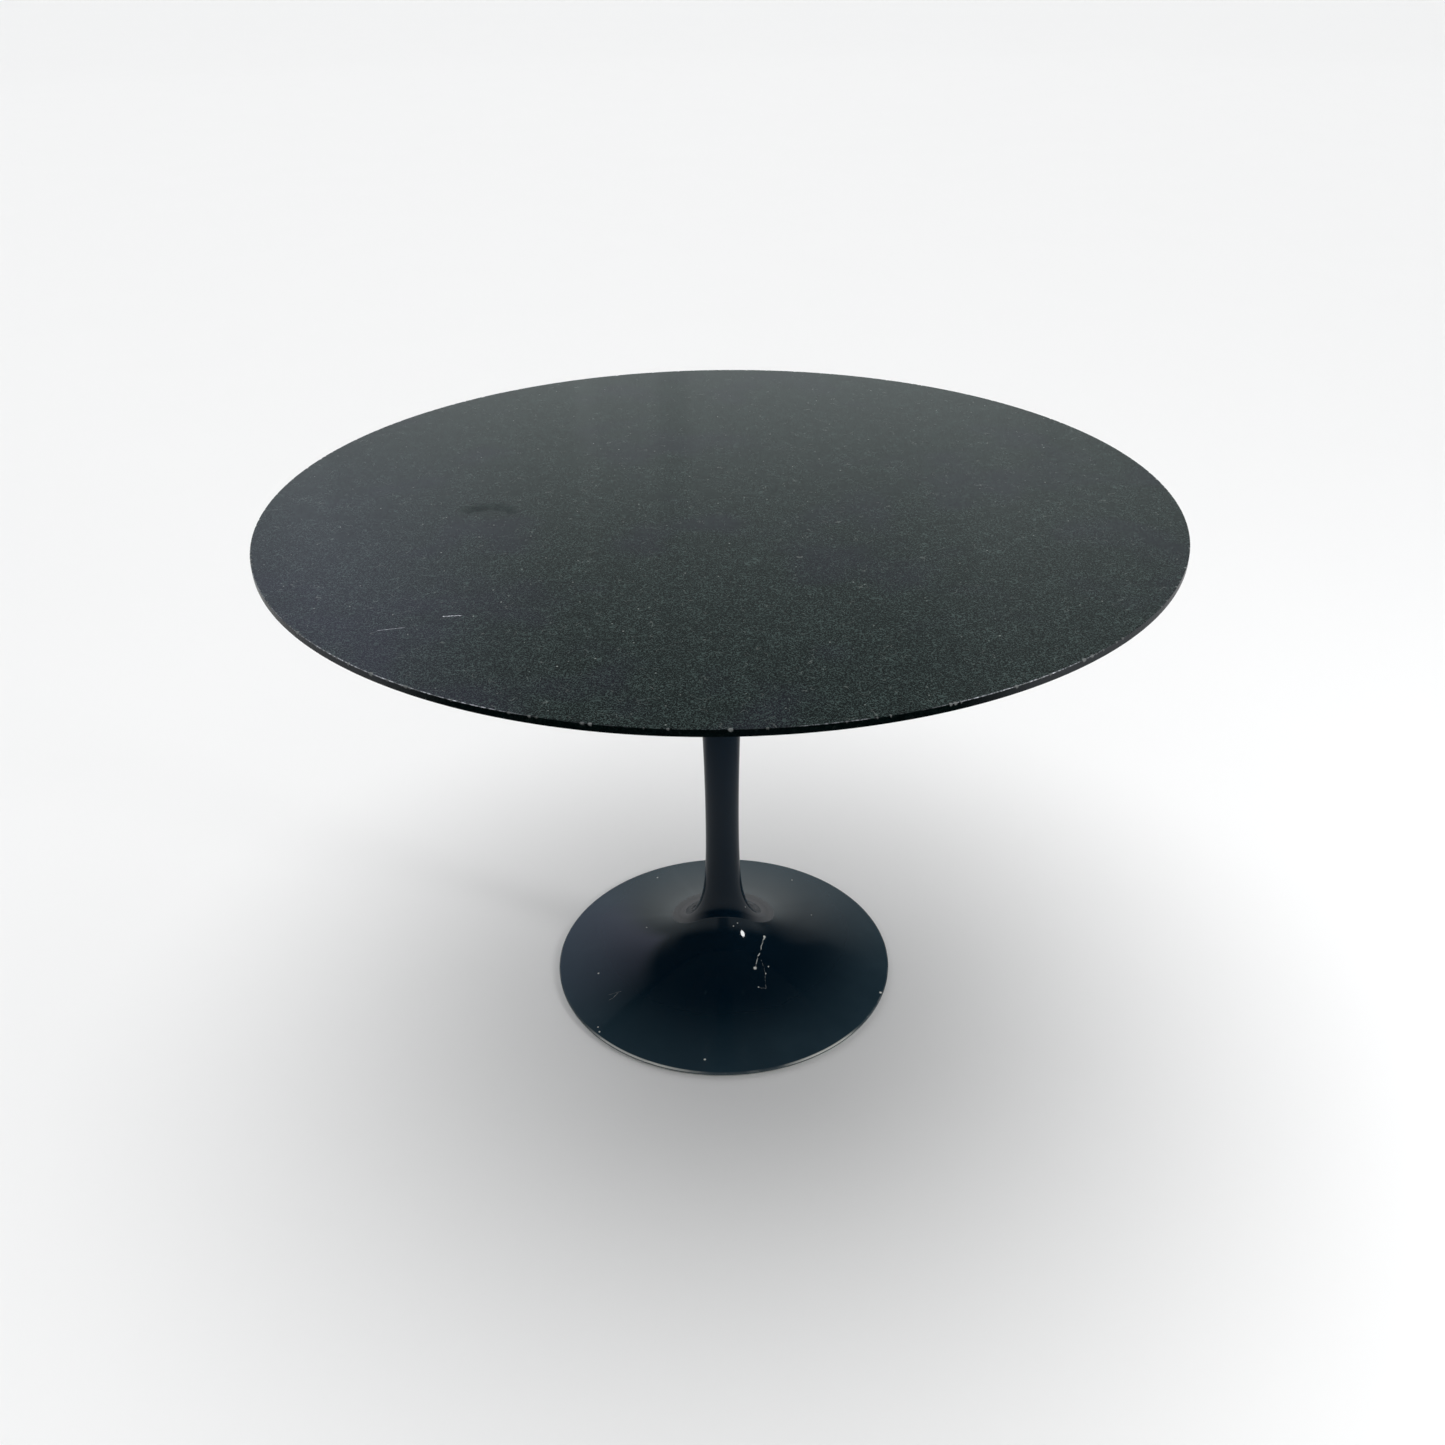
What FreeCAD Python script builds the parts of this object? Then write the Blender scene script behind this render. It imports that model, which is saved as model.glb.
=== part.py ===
"""Round pedestal dining table: a bevelled stone top on a one-piece cast trumpet pedestal.

Millimetres, +Z up. The origin is on the floor, on the axis of the pedestal. One STEP file is
written to parts/ for each sub-part. Screw threads are plain cylinders of the nominal diameter.
"""

import FreeCAD, Part
import math
import os

# Overall size
TABLE_HEIGHT = 710.0
TOP_DIAMETER = 1080.0
BASE_DIAMETER = 480.0

# Stone top: a thin upright edge band, and below it a bevel that runs inwards
STONE_THICKNESS = 20.0
EDGE_BAND = 7.8
BEVEL_WIDTH = 65.0
ARRIS_RADIUS = 0.8

# Backing disc under the stone, bonded with a thin adhesive bed
ADHESIVE_DIAMETER = 440.0
ADHESIVE_THICKNESS = 1.0
BACKING_DIAMETER = 460.0
BACKING_THICKNESS = 18.0
BACKING_CHAMFER = 4.0

# Mounting plate, bolted to the backing disc on a circle
PLATE_DIAMETER = 280.0
PLATE_THICKNESS = 5.0
PLATE_EYE_RADIUS = 20.0
PLATE_CHAMFER = 1.0
BOLT_CIRCLE_DIAMETER = 240.0
BOLT_COUNT = 6
INSERT_RADIUS = 5.0
INSERT_LENGTH = 13.0
INSERT_HOLE_DEPTH = 14.0

# M6 bolts, with a flat and a spring washer under each head
M6_RADIUS = 3.0
M6_HOLE_RADIUS = 3.3
M6_LENGTH = 20.0
M6_HEAD_FLATS = 10.0
M6_HEAD_HEIGHT = 4.0
M6_WASHER_RADIUS = 6.25
M6_WASHER_THICKNESS = 1.6
M6_SPRING_RADIUS = 5.6
M6_SPRING_THICKNESS = 1.6

# Hub spigot, welded under the mounting plate and standing inside the pedestal's mouth
HUB_RADIUS = 33.0
HUB_WALL = 5.0
HUB_HEIGHT = 54.0
HUB_FLOOR = 16.0
WELD_LEG = 4.0

# Tie rod, M16, from the hub down to the clamp plate
ROD_RADIUS = 8.0
ROD_HOLE_RADIUS = 9.0
ROD_CHAMFER = 1.2
ROD_TOP_STICKOUT = 5.0
ROD_FOOT_STICKOUT = 5.0
M16_NUT_FLATS = 24.0
M16_NUT_HEIGHT = 13.0
M16_WASHER_RADIUS = 15.0
M16_WASHER_THICKNESS = 3.0
M16_SPRING_RADIUS = 13.7
M16_SPRING_THICKNESS = 3.5

# Pedestal: outer radius = core + an exponential flare at the foot + a power-law flare at the mouth
GASKET_THICKNESS = 2.0
CORE_RADIUS = 22.7
MOUTH_RADIUS = 47.0
FLARE_HEIGHT = 33.5
WAIST_HEIGHT = 215.0
NECK_POWER = 2.4
WALL = 6.0
RIM_TOP = 6.0
RIM_ROUND = 1.6
FOOT_WIDTH = 14.0
OUTLINE_STEPS = 16
OUTLINE_CROWDING = 2.2
INNER_FIRST_STEP = 3
THROAT_WEB_BOTTOM = 64.0
THROAT_WEB_THICKNESS = 8.0

# Clamp plate under the pedestal's throat web
CLAMP_RADIUS = 42.0
CLAMP_THICKNESS = 6.0
CLAMP_CHAMFER = 1.0

# Glide ring under the rim
GLIDE_THICKNESS = 2.5
GLIDE_INSET = 1.0
GLIDE_WIDTH = 13.0
GLIDE_ROUND = 0.8

# Fastener details
SPRING_WASHER_GAP = 1.2
SPRING_WASHER_SLANT = 30.0
HEXAGON_SIDES = 6
HEXAGON_CHAMFER_ANGLE = 30.0

# Working values
CUT_MARGIN = 1.0
SLOPE_STEP = 0.01
LENGTH_TOLERANCE = 0.001

# Heights, from the top down
STONE_BOTTOM = TABLE_HEIGHT - STONE_THICKNESS
BACKING_TOP = STONE_BOTTOM - ADHESIVE_THICKNESS
BACKING_BOTTOM = BACKING_TOP - BACKING_THICKNESS
PLATE_BOTTOM = BACKING_BOTTOM - PLATE_THICKNESS
MOUTH_HEIGHT = PLATE_BOTTOM - GASKET_THICKNESS
HUB_BOTTOM = PLATE_BOTTOM - HUB_HEIGHT
HUB_FLOOR_TOP = HUB_BOTTOM + HUB_FLOOR
TOP_NUT_BOTTOM = HUB_FLOOR_TOP + M16_WASHER_THICKNESS
ROD_TOP = TOP_NUT_BOTTOM + M16_NUT_HEIGHT + ROD_TOP_STICKOUT

# Heights of the clamping stack, from the throat web down
CLAMP_BOTTOM = THROAT_WEB_BOTTOM - CLAMP_THICKNESS
CLAMP_WASHER_BOTTOM = CLAMP_BOTTOM - M16_WASHER_THICKNESS
CLAMP_SPRING_BOTTOM = CLAMP_WASHER_BOTTOM - M16_SPRING_THICKNESS
CLAMP_NUT_BOTTOM = CLAMP_SPRING_BOTTOM - M16_NUT_HEIGHT
ROD_BOTTOM = CLAMP_NUT_BOTTOM - ROD_FOOT_STICKOUT

TOP_RADIUS = TOP_DIAMETER / 2
BASE_RADIUS = BASE_DIAMETER / 2
UP = FreeCAD.Vector(0, 0, 1)
CENTRE = FreeCAD.Vector(0, 0, 0)


def point(radius, height):
    """A point of an outline in the XZ plane."""
    return FreeCAD.Vector(radius, 0, height)


def turned(edges):
    """A solid of revolution about Z, from the edges of one closed outline."""
    face = Part.Face(Part.Wire(edges))
    solid = face.revolve(CENTRE, UP, 360)
    return Part.Solid(solid.Shells[0])


def straight_edges(points):
    """Straight edges from each point to the next."""
    return [Part.LineSegment(a, b).toShape() for a, b in zip(points, points[1:])]


def turned_polygon(points):
    """A solid of revolution whose outline is a closed polygon of (radius, height) pairs."""
    corners = [point(radius, height) for radius, height in points]
    return turned(straight_edges(corners + corners[:1]))


def disc(radius, bottom, thickness):
    """A plain disc on the axis."""
    return Part.makeCylinder(radius, thickness, FreeCAD.Vector(0, 0, bottom), UP)


def ring(outer_radius, inner_radius, bottom, thickness):
    """A flat ring on the axis."""
    return disc(outer_radius, bottom, thickness).cut(disc(inner_radius, bottom, thickness))


def spring_washer(outer_radius, inner_radius, bottom, thickness):
    """A flat ring, split by one slanted gap."""
    gap_length = outer_radius - inner_radius + 2 * CUT_MARGIN
    gap = Part.makeBox(gap_length, SPRING_WASHER_GAP, thickness * 2)
    gap.translate(
        FreeCAD.Vector(inner_radius - CUT_MARGIN, -SPRING_WASHER_GAP / 2, bottom - thickness / 2)
    )
    pivot = FreeCAD.Vector(outer_radius, 0, bottom + thickness / 2)
    gap.rotate(pivot, FreeCAD.Vector(1, 0, 0), SPRING_WASHER_SLANT)
    return ring(outer_radius, inner_radius, bottom, thickness).cut(gap)


def hexagon(across_flats, bottom, height):
    """A hexagonal prism on the axis, with its corners turned down at both ends."""
    flat_radius = across_flats / 2
    corner_radius = flat_radius / math.cos(math.pi / HEXAGON_SIDES)
    angles = [2 * math.pi * i / HEXAGON_SIDES for i in range(HEXAGON_SIDES)]
    corners = [
        FreeCAD.Vector(corner_radius * math.cos(a), corner_radius * math.sin(a), bottom) for a in angles
    ]
    prism = Part.Face(Part.makePolygon(corners + corners[:1])).extrude(UP * height)
    drop = (corner_radius - flat_radius) * math.tan(math.radians(HEXAGON_CHAMFER_ANGLE))
    top = bottom + height
    envelope = turned_polygon(
        [
            (0, bottom),
            (flat_radius, bottom),
            (corner_radius, bottom + drop),
            (corner_radius, top - drop),
            (flat_radius, top),
            (0, top),
        ]
    )
    return prism.common(envelope)


def bolt_places():
    """Centres of the mounting bolts, on their circle."""
    radius = BOLT_CIRCLE_DIAMETER / 2
    for i in range(BOLT_COUNT):
        angle = 2 * math.pi * i / BOLT_COUNT
        yield FreeCAD.Vector(radius * math.cos(angle), radius * math.sin(angle), 0)


def at_bolts(shape):
    """One copy of a shape at each mounting bolt, as a group of separate solids."""
    copies = []
    for place in bolt_places():
        copy = shape.copy()
        copy.translate(place)
        copies.append(copy)
    return Part.makeCompound(copies)


def stone_top():
    """Polished stone disc: upright band at the edge, bevelled inwards below it."""
    band_bottom = TABLE_HEIGHT - EDGE_BAND
    arc_middle = ARRIS_RADIUS * (1 - math.sqrt(0.5))
    arris_start = point(TOP_RADIUS, TABLE_HEIGHT - ARRIS_RADIUS)
    arris_middle = point(TOP_RADIUS - arc_middle, TABLE_HEIGHT - arc_middle)
    arris_end = point(TOP_RADIUS - ARRIS_RADIUS, TABLE_HEIGHT)
    below = [
        point(0, TABLE_HEIGHT),
        point(0, STONE_BOTTOM),
        point(TOP_RADIUS - BEVEL_WIDTH, STONE_BOTTOM),
        point(TOP_RADIUS, band_bottom),
        arris_start,
    ]
    arris = Part.Arc(arris_start, arris_middle, arris_end).toShape()
    return turned([arris] + straight_edges([arris_end] + below))


def adhesive_bed():
    """Thin cured bed between the stone and the backing disc."""
    return disc(ADHESIVE_DIAMETER / 2, BACKING_TOP, ADHESIVE_THICKNESS)


def backing_disc():
    """Plywood disc with a chamfered lower edge and blind holes for the threaded inserts."""
    radius = BACKING_DIAMETER / 2
    board = turned_polygon(
        [
            (0, BACKING_BOTTOM),
            (radius - BACKING_CHAMFER, BACKING_BOTTOM),
            (radius, BACKING_BOTTOM + BACKING_CHAMFER),
            (radius, BACKING_TOP),
            (0, BACKING_TOP),
        ]
    )
    return board.cut(at_bolts(disc(INSERT_RADIUS, BACKING_BOTTOM, INSERT_HOLE_DEPTH)))


def threaded_inserts():
    """Brass inserts pressed into the backing disc."""
    return at_bolts(ring(INSERT_RADIUS, M6_RADIUS, BACKING_BOTTOM, INSERT_LENGTH))


def mounting_plate():
    """Round steel plate with a central eye and one clearance hole for each bolt."""
    radius = PLATE_DIAMETER / 2
    plate = turned_polygon(
        [
            (PLATE_EYE_RADIUS, PLATE_BOTTOM),
            (radius - PLATE_CHAMFER, PLATE_BOTTOM),
            (radius, PLATE_BOTTOM + PLATE_CHAMFER),
            (radius, BACKING_BOTTOM),
            (PLATE_EYE_RADIUS, BACKING_BOTTOM),
        ]
    )
    return plate.cut(at_bolts(disc(M6_HOLE_RADIUS, PLATE_BOTTOM, PLATE_THICKNESS)))


def mounting_washers():
    """Flat washers against the underside of the mounting plate."""
    bottom = PLATE_BOTTOM - M6_WASHER_THICKNESS
    return at_bolts(ring(M6_WASHER_RADIUS, M6_HOLE_RADIUS, bottom, M6_WASHER_THICKNESS))


def mounting_spring_washers():
    """Split spring washers between the flat washers and the bolt heads."""
    bottom = PLATE_BOTTOM - M6_WASHER_THICKNESS - M6_SPRING_THICKNESS
    return at_bolts(spring_washer(M6_SPRING_RADIUS, M6_HOLE_RADIUS, bottom, M6_SPRING_THICKNESS))


def mounting_bolts():
    """Hexagon-head bolts, up through the plate into the inserts."""
    head_top = PLATE_BOTTOM - M6_WASHER_THICKNESS - M6_SPRING_THICKNESS
    head = hexagon(M6_HEAD_FLATS, head_top - M6_HEAD_HEIGHT, M6_HEAD_HEIGHT)
    shank = disc(M6_RADIUS, head_top, M6_LENGTH)
    return at_bolts(head.fuse(shank).removeSplitter())


def hub_spigot():
    """Steel cup whose floor takes the tie rod."""
    return turned_polygon(
        [
            (ROD_RADIUS, HUB_BOTTOM),
            (HUB_RADIUS - ROD_CHAMFER, HUB_BOTTOM),
            (HUB_RADIUS, HUB_BOTTOM + ROD_CHAMFER),
            (HUB_RADIUS, PLATE_BOTTOM),
            (HUB_RADIUS - HUB_WALL, PLATE_BOTTOM),
            (HUB_RADIUS - HUB_WALL, HUB_FLOOR_TOP),
            (ROD_RADIUS, HUB_FLOOR_TOP),
        ]
    )


def hub_weld():
    """Fillet weld between the hub spigot and the mounting plate."""
    return turned_polygon(
        [
            (HUB_RADIUS, PLATE_BOTTOM - WELD_LEG),
            (HUB_RADIUS + WELD_LEG, PLATE_BOTTOM),
            (HUB_RADIUS, PLATE_BOTTOM),
        ]
    )


def outer_radius(height):
    """Outer radius of the pedestal at a height."""
    flare = (BASE_RADIUS - CORE_RADIUS) * math.exp(-(height - RIM_TOP) / FLARE_HEIGHT)
    above_waist = max(0.0, (height - WAIST_HEIGHT) / (MOUTH_HEIGHT - WAIST_HEIGHT))
    return CORE_RADIUS + flare + (MOUTH_RADIUS - CORE_RADIUS) * above_waist**NECK_POWER


def outline_heights():
    """Heights of the outline's points, crowded towards the foot where the flare is flattest."""
    steps = [(i / OUTLINE_STEPS) ** OUTLINE_CROWDING for i in range(OUTLINE_STEPS + 1)]
    return [RIM_TOP + (MOUTH_HEIGHT - RIM_TOP) * step for step in steps]


def inner_point(height):
    """The point of the inner wall straight through the wall from the outer wall at a height."""
    rise = outer_radius(height + SLOPE_STEP) - outer_radius(height - SLOPE_STEP)
    slope = rise / (2 * SLOPE_STEP)
    across = WALL / math.hypot(1, slope)
    return point(outer_radius(height) - across, height + slope * across)


def smooth_edge(points):
    """One smooth curve through points."""
    curve = Part.BSplineCurve()
    curve.interpolate(points)
    return curve.toShape()


def pedestal():
    """One-piece cast trumpet: a hollow shell with a flat foot and a web across its throat."""
    heights = outline_heights()
    outer = [point(outer_radius(height), height) for height in heights]
    inner = [inner_point(height) for height in heights[INNER_FIRST_STEP:-1]]
    mouth_inside = point(MOUTH_RADIUS - WALL, MOUTH_HEIGHT)
    foot_inside = point(BASE_RADIUS - FOOT_WIDTH, GLIDE_THICKNESS)
    foot_outside = point(BASE_RADIUS, GLIDE_THICKNESS)
    edges = [
        smooth_edge(outer),
        Part.LineSegment(outer[-1], mouth_inside).toShape(),
        smooth_edge([foot_inside] + inner + [mouth_inside]),
        Part.LineSegment(foot_inside, foot_outside).toShape(),
        Part.LineSegment(foot_outside, outer[0]).toShape(),
    ]
    shell = turned(Part.__sortEdges__(edges))
    rim = [edge for edge in shell.Edges if is_circle_at(edge, BASE_RADIUS, RIM_TOP)]
    shell = shell.makeFillet(RIM_ROUND, rim)
    web_top = THROAT_WEB_BOTTOM + THROAT_WEB_THICKNESS
    web = Part.makeCone(
        outer_radius(THROAT_WEB_BOTTOM) - WALL,
        outer_radius(web_top) - WALL,
        THROAT_WEB_THICKNESS,
        FreeCAD.Vector(0, 0, THROAT_WEB_BOTTOM),
        UP,
    )
    hole = disc(ROD_HOLE_RADIUS, THROAT_WEB_BOTTOM, THROAT_WEB_THICKNESS)
    return shell.fuse(web.cut(hole)).removeSplitter()


def is_circle_at(edge, radius, height):
    """Whether an edge is the circle of a radius about the axis at a height."""
    if not isinstance(edge.Curve, Part.Circle):
        return False
    same_height = abs(edge.Curve.Center.z - height) < LENGTH_TOLERANCE
    return same_height and abs(edge.Curve.Radius - radius) < LENGTH_TOLERANCE


def mouth_gasket():
    """Thin ring between the pedestal's mouth and the mounting plate."""
    return ring(MOUTH_RADIUS, MOUTH_RADIUS - WALL, MOUTH_HEIGHT, GASKET_THICKNESS)


def tie_rod():
    """Threaded rod down the middle of the pedestal, chamfered at both ends."""
    thin = ROD_RADIUS - ROD_CHAMFER
    return turned_polygon(
        [
            (0, ROD_BOTTOM),
            (thin, ROD_BOTTOM),
            (ROD_RADIUS, ROD_BOTTOM + ROD_CHAMFER),
            (ROD_RADIUS, ROD_TOP - ROD_CHAMFER),
            (thin, ROD_TOP),
            (0, ROD_TOP),
        ]
    )


def rod_nut(bottom):
    """Hexagon nut on the tie rod."""
    return hexagon(M16_NUT_FLATS, bottom, M16_NUT_HEIGHT).cut(disc(ROD_RADIUS, bottom, M16_NUT_HEIGHT))


def rod_washer(bottom):
    """Flat washer on the tie rod."""
    return ring(M16_WASHER_RADIUS, ROD_HOLE_RADIUS, bottom, M16_WASHER_THICKNESS)


def clamp_plate():
    """Steel disc that pulls up against the pedestal's throat web."""
    return turned_polygon(
        [
            (ROD_HOLE_RADIUS, CLAMP_BOTTOM),
            (CLAMP_RADIUS - CLAMP_CHAMFER, CLAMP_BOTTOM),
            (CLAMP_RADIUS, CLAMP_BOTTOM + CLAMP_CHAMFER),
            (CLAMP_RADIUS, THROAT_WEB_BOTTOM),
            (ROD_HOLE_RADIUS, THROAT_WEB_BOTTOM),
        ]
    )


def clamp_spring_washer():
    """Split spring washer between the clamp washer and the clamp nut."""
    return spring_washer(M16_SPRING_RADIUS, ROD_HOLE_RADIUS, CLAMP_SPRING_BOTTOM, M16_SPRING_THICKNESS)


def glide_ring():
    """Plastic ring under the foot, set in a little from the rim, with a rounded lower edge."""
    outside = BASE_RADIUS - GLIDE_INSET
    inside = outside - GLIDE_WIDTH
    flat = ring(outside, inside, 0, GLIDE_THICKNESS)
    lower_edge = [edge for edge in flat.Edges if is_circle_at(edge, outside, 0)]
    return flat.makeFillet(GLIDE_ROUND, lower_edge)


def write_node(name, shape):
    """Writes one sub-part's STEP file, and stops on a shape that isn't made of valid solids."""
    if not shape.isValid() or not shape.Solids:
        raise ValueError(f"{name} is not a valid solid")
    shape.exportStep(f"parts/{name}.step")


def main():
    """Makes and writes every sub-part."""
    os.makedirs("parts", exist_ok=True)
    write_node("stone_top", stone_top())
    write_node("adhesive_bed", adhesive_bed())
    write_node("backing_disc", backing_disc())
    write_node("threaded_inserts", threaded_inserts())
    write_node("mounting_plate", mounting_plate())
    write_node("mounting_washers", mounting_washers())
    write_node("mounting_spring_washers", mounting_spring_washers())
    write_node("mounting_bolts", mounting_bolts())
    write_node("hub_spigot", hub_spigot())
    write_node("hub_weld", hub_weld())
    write_node("mouth_gasket", mouth_gasket())
    write_node("pedestal", pedestal())
    write_node("tie_rod", tie_rod())
    write_node("top_nut_washer", rod_washer(HUB_FLOOR_TOP))
    write_node("top_nut", rod_nut(TOP_NUT_BOTTOM))
    write_node("clamp_plate", clamp_plate())
    write_node("clamp_washer", rod_washer(CLAMP_WASHER_BOTTOM))
    write_node("clamp_spring_washer", clamp_spring_washer())
    write_node("clamp_nut", rod_nut(CLAMP_NUT_BOTTOM))
    write_node("glide_ring", glide_ring())


main()
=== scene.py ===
"""Looks of a round pedestal dining table, laid out as an add-on.

A polished granite top stands on a gloss black trumpet pedestal, with its hardware underneath and a pale
studio around it. Metres, +Z up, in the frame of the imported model, which this script loads and never moves.
"""

import functools
import math

import bpy
import numpy as np
from mathutils import Matrix, Vector


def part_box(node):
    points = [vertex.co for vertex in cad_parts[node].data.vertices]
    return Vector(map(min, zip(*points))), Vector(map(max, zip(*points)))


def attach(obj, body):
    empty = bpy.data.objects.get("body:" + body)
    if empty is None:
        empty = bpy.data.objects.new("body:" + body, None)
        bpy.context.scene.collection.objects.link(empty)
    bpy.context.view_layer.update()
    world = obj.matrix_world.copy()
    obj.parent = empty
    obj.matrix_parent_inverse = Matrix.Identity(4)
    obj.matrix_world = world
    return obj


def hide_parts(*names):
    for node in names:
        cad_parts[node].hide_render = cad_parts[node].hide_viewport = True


bl_info = {
    "name": "Round Pedestal Table",
    "version": (1, 0, 0),
    "blender": (4, 5, 0),
    "location": "View3D > Sidebar > Pedestal Table",
    "description": "Finishes a packed pedestal table: granite top, trumpet pedestal, hardware and studio",
    "category": "Object",
}

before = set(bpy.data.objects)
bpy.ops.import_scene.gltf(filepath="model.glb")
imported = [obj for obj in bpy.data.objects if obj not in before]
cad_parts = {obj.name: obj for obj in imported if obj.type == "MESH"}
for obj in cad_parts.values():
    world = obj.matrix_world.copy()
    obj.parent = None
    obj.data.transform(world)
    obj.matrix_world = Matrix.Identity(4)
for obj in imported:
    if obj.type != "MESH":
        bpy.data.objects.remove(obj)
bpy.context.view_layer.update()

TAU = 2 * math.pi
MM = 0.001
DEGREES = math.degrees(1)


# ---------------------------------------------------------------------------------------------
# Shader expressions
# ---------------------------------------------------------------------------------------------


class Value:
    """An output socket, used in Python expressions. Each operator adds one Math node."""

    def __init__(self, nodes, socket):
        self.nodes = nodes
        self.socket = socket

    def math(self, operation, *inputs):
        """One Math node on these inputs."""
        return self.nodes.add("ShaderNodeMath", {"operation": operation}, dict(enumerate(inputs)))

    def __add__(self, other):
        return self.math("ADD", self, other)

    __radd__ = __add__

    def __sub__(self, other):
        return self.math("SUBTRACT", self, other)

    def __rsub__(self, other):
        return self.math("SUBTRACT", other, self)

    def __mul__(self, other):
        return self.math("MULTIPLY", self, other)

    __rmul__ = __mul__

    def __abs__(self):
        return self.math("ABSOLUTE", self)

    def most(self, other):
        """The larger of two values."""
        return self.math("MAXIMUM", self, other)

    def least(self, other):
        """The smaller of two values."""
        return self.math("MINIMUM", self, other)

    def angle(self, run):
        """The angle in degrees of a rise of this value over a run, from -180 to 180."""
        return self.math("ARCTAN2", self, run) * DEGREES


def largest(values):
    """The largest of some Values."""
    return functools.reduce(Value.most, values)


class Nodes:
    """A node tree that is filled by calls and by expressions on Values."""

    def __init__(self, tree):
        self.tree = tree
        tree.nodes.clear()

    def add(self, kind, settings=None, inputs=None, output=0):
        """Adds a node: its settings first, then its inputs by name or number, each a constant or a Value."""
        node = self.tree.nodes.new(kind)
        for key, setting in (settings or {}).items():
            setattr(node, key, setting)
        for key, value in (inputs or {}).items():
            if isinstance(value, Value):
                self.tree.links.new(value.socket, node.inputs[key])
            else:
                node.inputs[key].default_value = value
        if not node.outputs:
            return None
        return Value(self, node.outputs[output])

    def coordinates(self):
        """Object coordinates, in metres."""
        return self.add("ShaderNodeTexCoord", output="Object")

    def axes(self, vector):
        """The three numbers of a vector."""
        split = self.add("ShaderNodeSeparateXYZ", inputs={0: vector})
        return [Value(self, output) for output in split.socket.node.outputs]

    def level(self, vector):
        """A vector with its Z taken out."""
        return self.vector("MULTIPLY", vector, (1.0, 1.0, 0.0))

    def length(self, vector):
        """The length of a vector."""
        return self.vector("LENGTH", vector, output="Value")

    def vector(self, operation, *inputs, output=0):
        """One Vector Math node."""
        return self.add("ShaderNodeVectorMath", {"operation": operation}, dict(enumerate(inputs)), output)

    def stretched(self, vector, scale, turn=0.0):
        """A vector turned about Z, then scaled along each axis."""
        inputs = {"Vector": vector, "Angle": turn}
        turned = self.add("ShaderNodeVectorRotate", {"rotation_type": "Z_AXIS"}, inputs)
        return self.vector("MULTIPLY", turned, scale)

    def scaled(self, vector, scale):
        """A vector made longer or shorter."""
        return self.add("ShaderNodeVectorMath", {"operation": "SCALE"}, {0: vector, "Scale": scale})

    def noise(self, vector, scale, detail=2.0, roughness=0.5, distortion=0.0, output="Fac"):
        """Noise from about 0 to 1, with about `scale` blotches a unit."""
        inputs = {
            "Vector": vector,
            "Scale": scale,
            "Detail": detail,
            "Roughness": roughness,
            "Distortion": distortion,
        }
        return self.add("ShaderNodeTexNoise", inputs=inputs, output=output)

    def cells(self, vector, scale, output="Color"):
        """A Voronoi pattern: a random colour for each cell, or the distance to its middle."""
        return self.add("ShaderNodeTexVoronoi", inputs={"Vector": vector, "Scale": scale}, output=output)

    def fade(self, value, low, high):
        """0 below low and 1 above high, with a smooth step between. It falls where high is under low."""
        inputs = {"Value": value, "From Min": low, "From Max": high}
        return self.add("ShaderNodeMapRange", {"interpolation_type": "SMOOTHSTEP"}, inputs)

    def arcs(self, angle, arcs):
        """1 within some arcs round Z, each given by its middle, outer and inner half width, in degrees."""
        return largest(self.fade(abs(angle - middle), outer, inner) for middle, outer, inner in arcs)

    def mix(self, amount, first, second):
        """Colours mixed: the first at 0, the second at 1."""
        inputs = {0: amount, 6: colour(first), 7: colour(second)}
        return self.add("ShaderNodeMix", {"data_type": "RGBA"}, inputs, output=2)

    def bump(self, height, depth, strength=1.0, normal=None):
        """A normal from a height pattern of 0 to 1, `depth` metres deep."""
        inputs = {"Height": height, "Distance": depth, "Strength": strength}
        if normal is not None:
            inputs["Normal"] = normal
        return self.add("ShaderNodeBump", inputs=inputs)

    def spot(self, place, centre, radius, ragged):
        """A ragged round spot: 1 inside, 0 outside."""
        distance = self.vector("DISTANCE", place, centre, output="Value")
        return self.fade(distance + ragged * radius, radius, radius * 0.72)

    def scratch(self, place, start, end, width, ragged, core=0.6):
        """A ragged stroke from start to end: 1 on its core, 0 off it."""
        start = Vector(start)
        along = Vector(end) - start
        offset = self.vector("SUBTRACT", place, start)
        share = self.vector("DOT_PRODUCT", offset, along / along.length_squared, output="Value")
        nearest = self.scaled(tuple(along), share.most(0.0).least(1.0))
        distance = self.vector("DISTANCE", offset, nearest, output="Value")
        return self.fade(distance + ragged * width, width, width * core)


def colour(value):
    """A colour with its alpha, or a Value as it is."""
    return value if isinstance(value, Value) else (*value, 1.0)


def surface(name, build, settings):
    """A material whose Principled inputs come from build(nodes, settings)."""
    material = bpy.data.materials.new(name)
    material.use_nodes = True
    nodes = Nodes(material.node_tree)
    shader = nodes.add("ShaderNodeBsdfPrincipled", inputs=build(nodes, settings))
    nodes.add("ShaderNodeOutputMaterial", inputs={"Surface": shader})
    return material


# ---------------------------------------------------------------------------------------------
# Shapes
# ---------------------------------------------------------------------------------------------


def unit(vector):
    """A vector of length 1."""
    return vector / np.linalg.norm(vector)


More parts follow.
